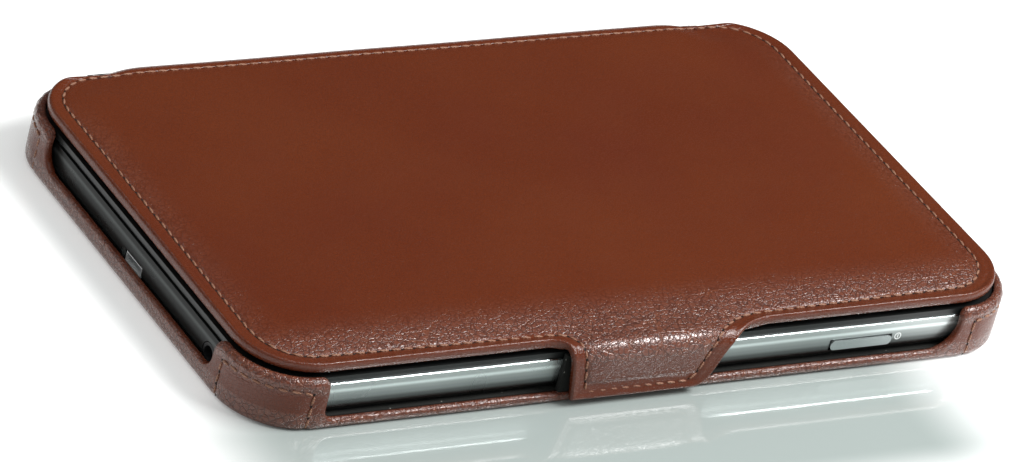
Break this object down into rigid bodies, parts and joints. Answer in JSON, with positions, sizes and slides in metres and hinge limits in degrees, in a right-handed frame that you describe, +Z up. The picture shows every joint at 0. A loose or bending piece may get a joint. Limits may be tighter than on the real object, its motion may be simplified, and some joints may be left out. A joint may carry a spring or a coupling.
{
  "type": "e-reader in folio case",
  "caption": "Slim e-reader held by corner pockets in a stitched leather folio case with a hinged spine, a padded cover and a closing tab.",
  "frame": {"origin": "under the middle of the closed case, on the surface that it lies on", "axes": "+X along the long side towards the reader's top end, +Y towards the spine, +Z up through the cover"},
  "size_m": [0.2046, 0.1264, 0.0164],
  "materials": {
    "cover_leather": "grained brown leather",
    "tray_leather": "smooth brown leather with a rolled edge",
    "lining": "black suede lining",
    "board": "grey fibreboard",
    "padding": "closed cell foam",
    "steel": "bright plated steel",
    "casing": "satin blue-grey paint",
    "bright_trim": "polished",
    "bezel": "glossy black",
    "glass": "clear polished",
    "display": "dark display",
    "chassis": "pressed plate",
    "circuit": "green solder mask",
    "battery": "dark wrap",
    "tape": "black adhesive tape",
    "light_pipe": "clear light pipe"
  },
  "bodies": {
    "case": {"back_panel_leather": "tray_leather", "front_left_pocket": "tray_leather", "front_right_pocket": "tray_leather", "rear_left_pocket": "tray_leather", "rear_right_pocket": "tray_leather", "front_clip_wall": "tray_leather", "back_panel_lining": "lining", "back_panel_board": "board", "display_foam": "padding", "clip_plate": "steel", "chassis_screws": "steel", "shield_cans": "steel", "micro_usb_socket": "steel", "back_shell": "casing", "chrome_trim": "bright_trim", "front_bezel": "bezel", "headphone_socket": "bezel", "speaker": "bezel", "microphone": "bezel", "power_switch": "bezel", "volume_switches": "bezel", "screen_lens": "glass", "display_panel": "display", "chassis_plate": "chassis", "main_board": "circuit", "wifi_antenna": "circuit", "display_flex": "circuit", "key_flex": "circuit", "battery": "battery", "lens_tape": "tape", "charge_light": "light_pipe"},
    "spine": {"spine_leather": "cover_leather", "spine_board": "board"},
    "cover": {"cover_leather": "cover_leather", "cover_board": "board", "cover_padding": "padding", "cover_lining": "lining"},
    "tab": {"closure_tab": "cover_leather", "tab_lining": "lining", "tab_magnets": "steel"},
    "power_key": {"power_button": "bright_trim"},
    "volume_key": {"volume_rocker": "bright_trim"}
  },
  "joints": [
    {"name": "spine_fold", "type": "hinge", "parent": "case", "child": "spine", "pos_m": [0, 0.06325, 0], "axis": [-1, 0, 0], "range_deg": [0, 90]},
    {"name": "cover_fold", "type": "hinge", "parent": "spine", "child": "cover", "pos_m": [0, 0.06325, 0.0164], "axis": [-1, 0, 0], "range_deg": [0, 90]},
    {"name": "tab_fold", "type": "hinge", "parent": "cover", "child": "tab", "pos_m": [0, -0.06115, 0.01625], "axis": [-1, 0, 0], "range_deg": [0, 120]},
    {"name": "power_press", "type": "slide", "parent": "case", "child": "power_key", "axis": [0, 1, 0], "range_m": [0, 0.00035], "stiffness_N_per_m": 1200},
    {"name": "volume_rock", "type": "hinge", "parent": "case", "child": "volume_key", "pos_m": [0.0985, 0.02825, 0.0059], "axis": [0, 0, 1], "range_deg": [-1.5, 1.5], "stiffness_Nm_per_rad": 0.2}
  ]
}
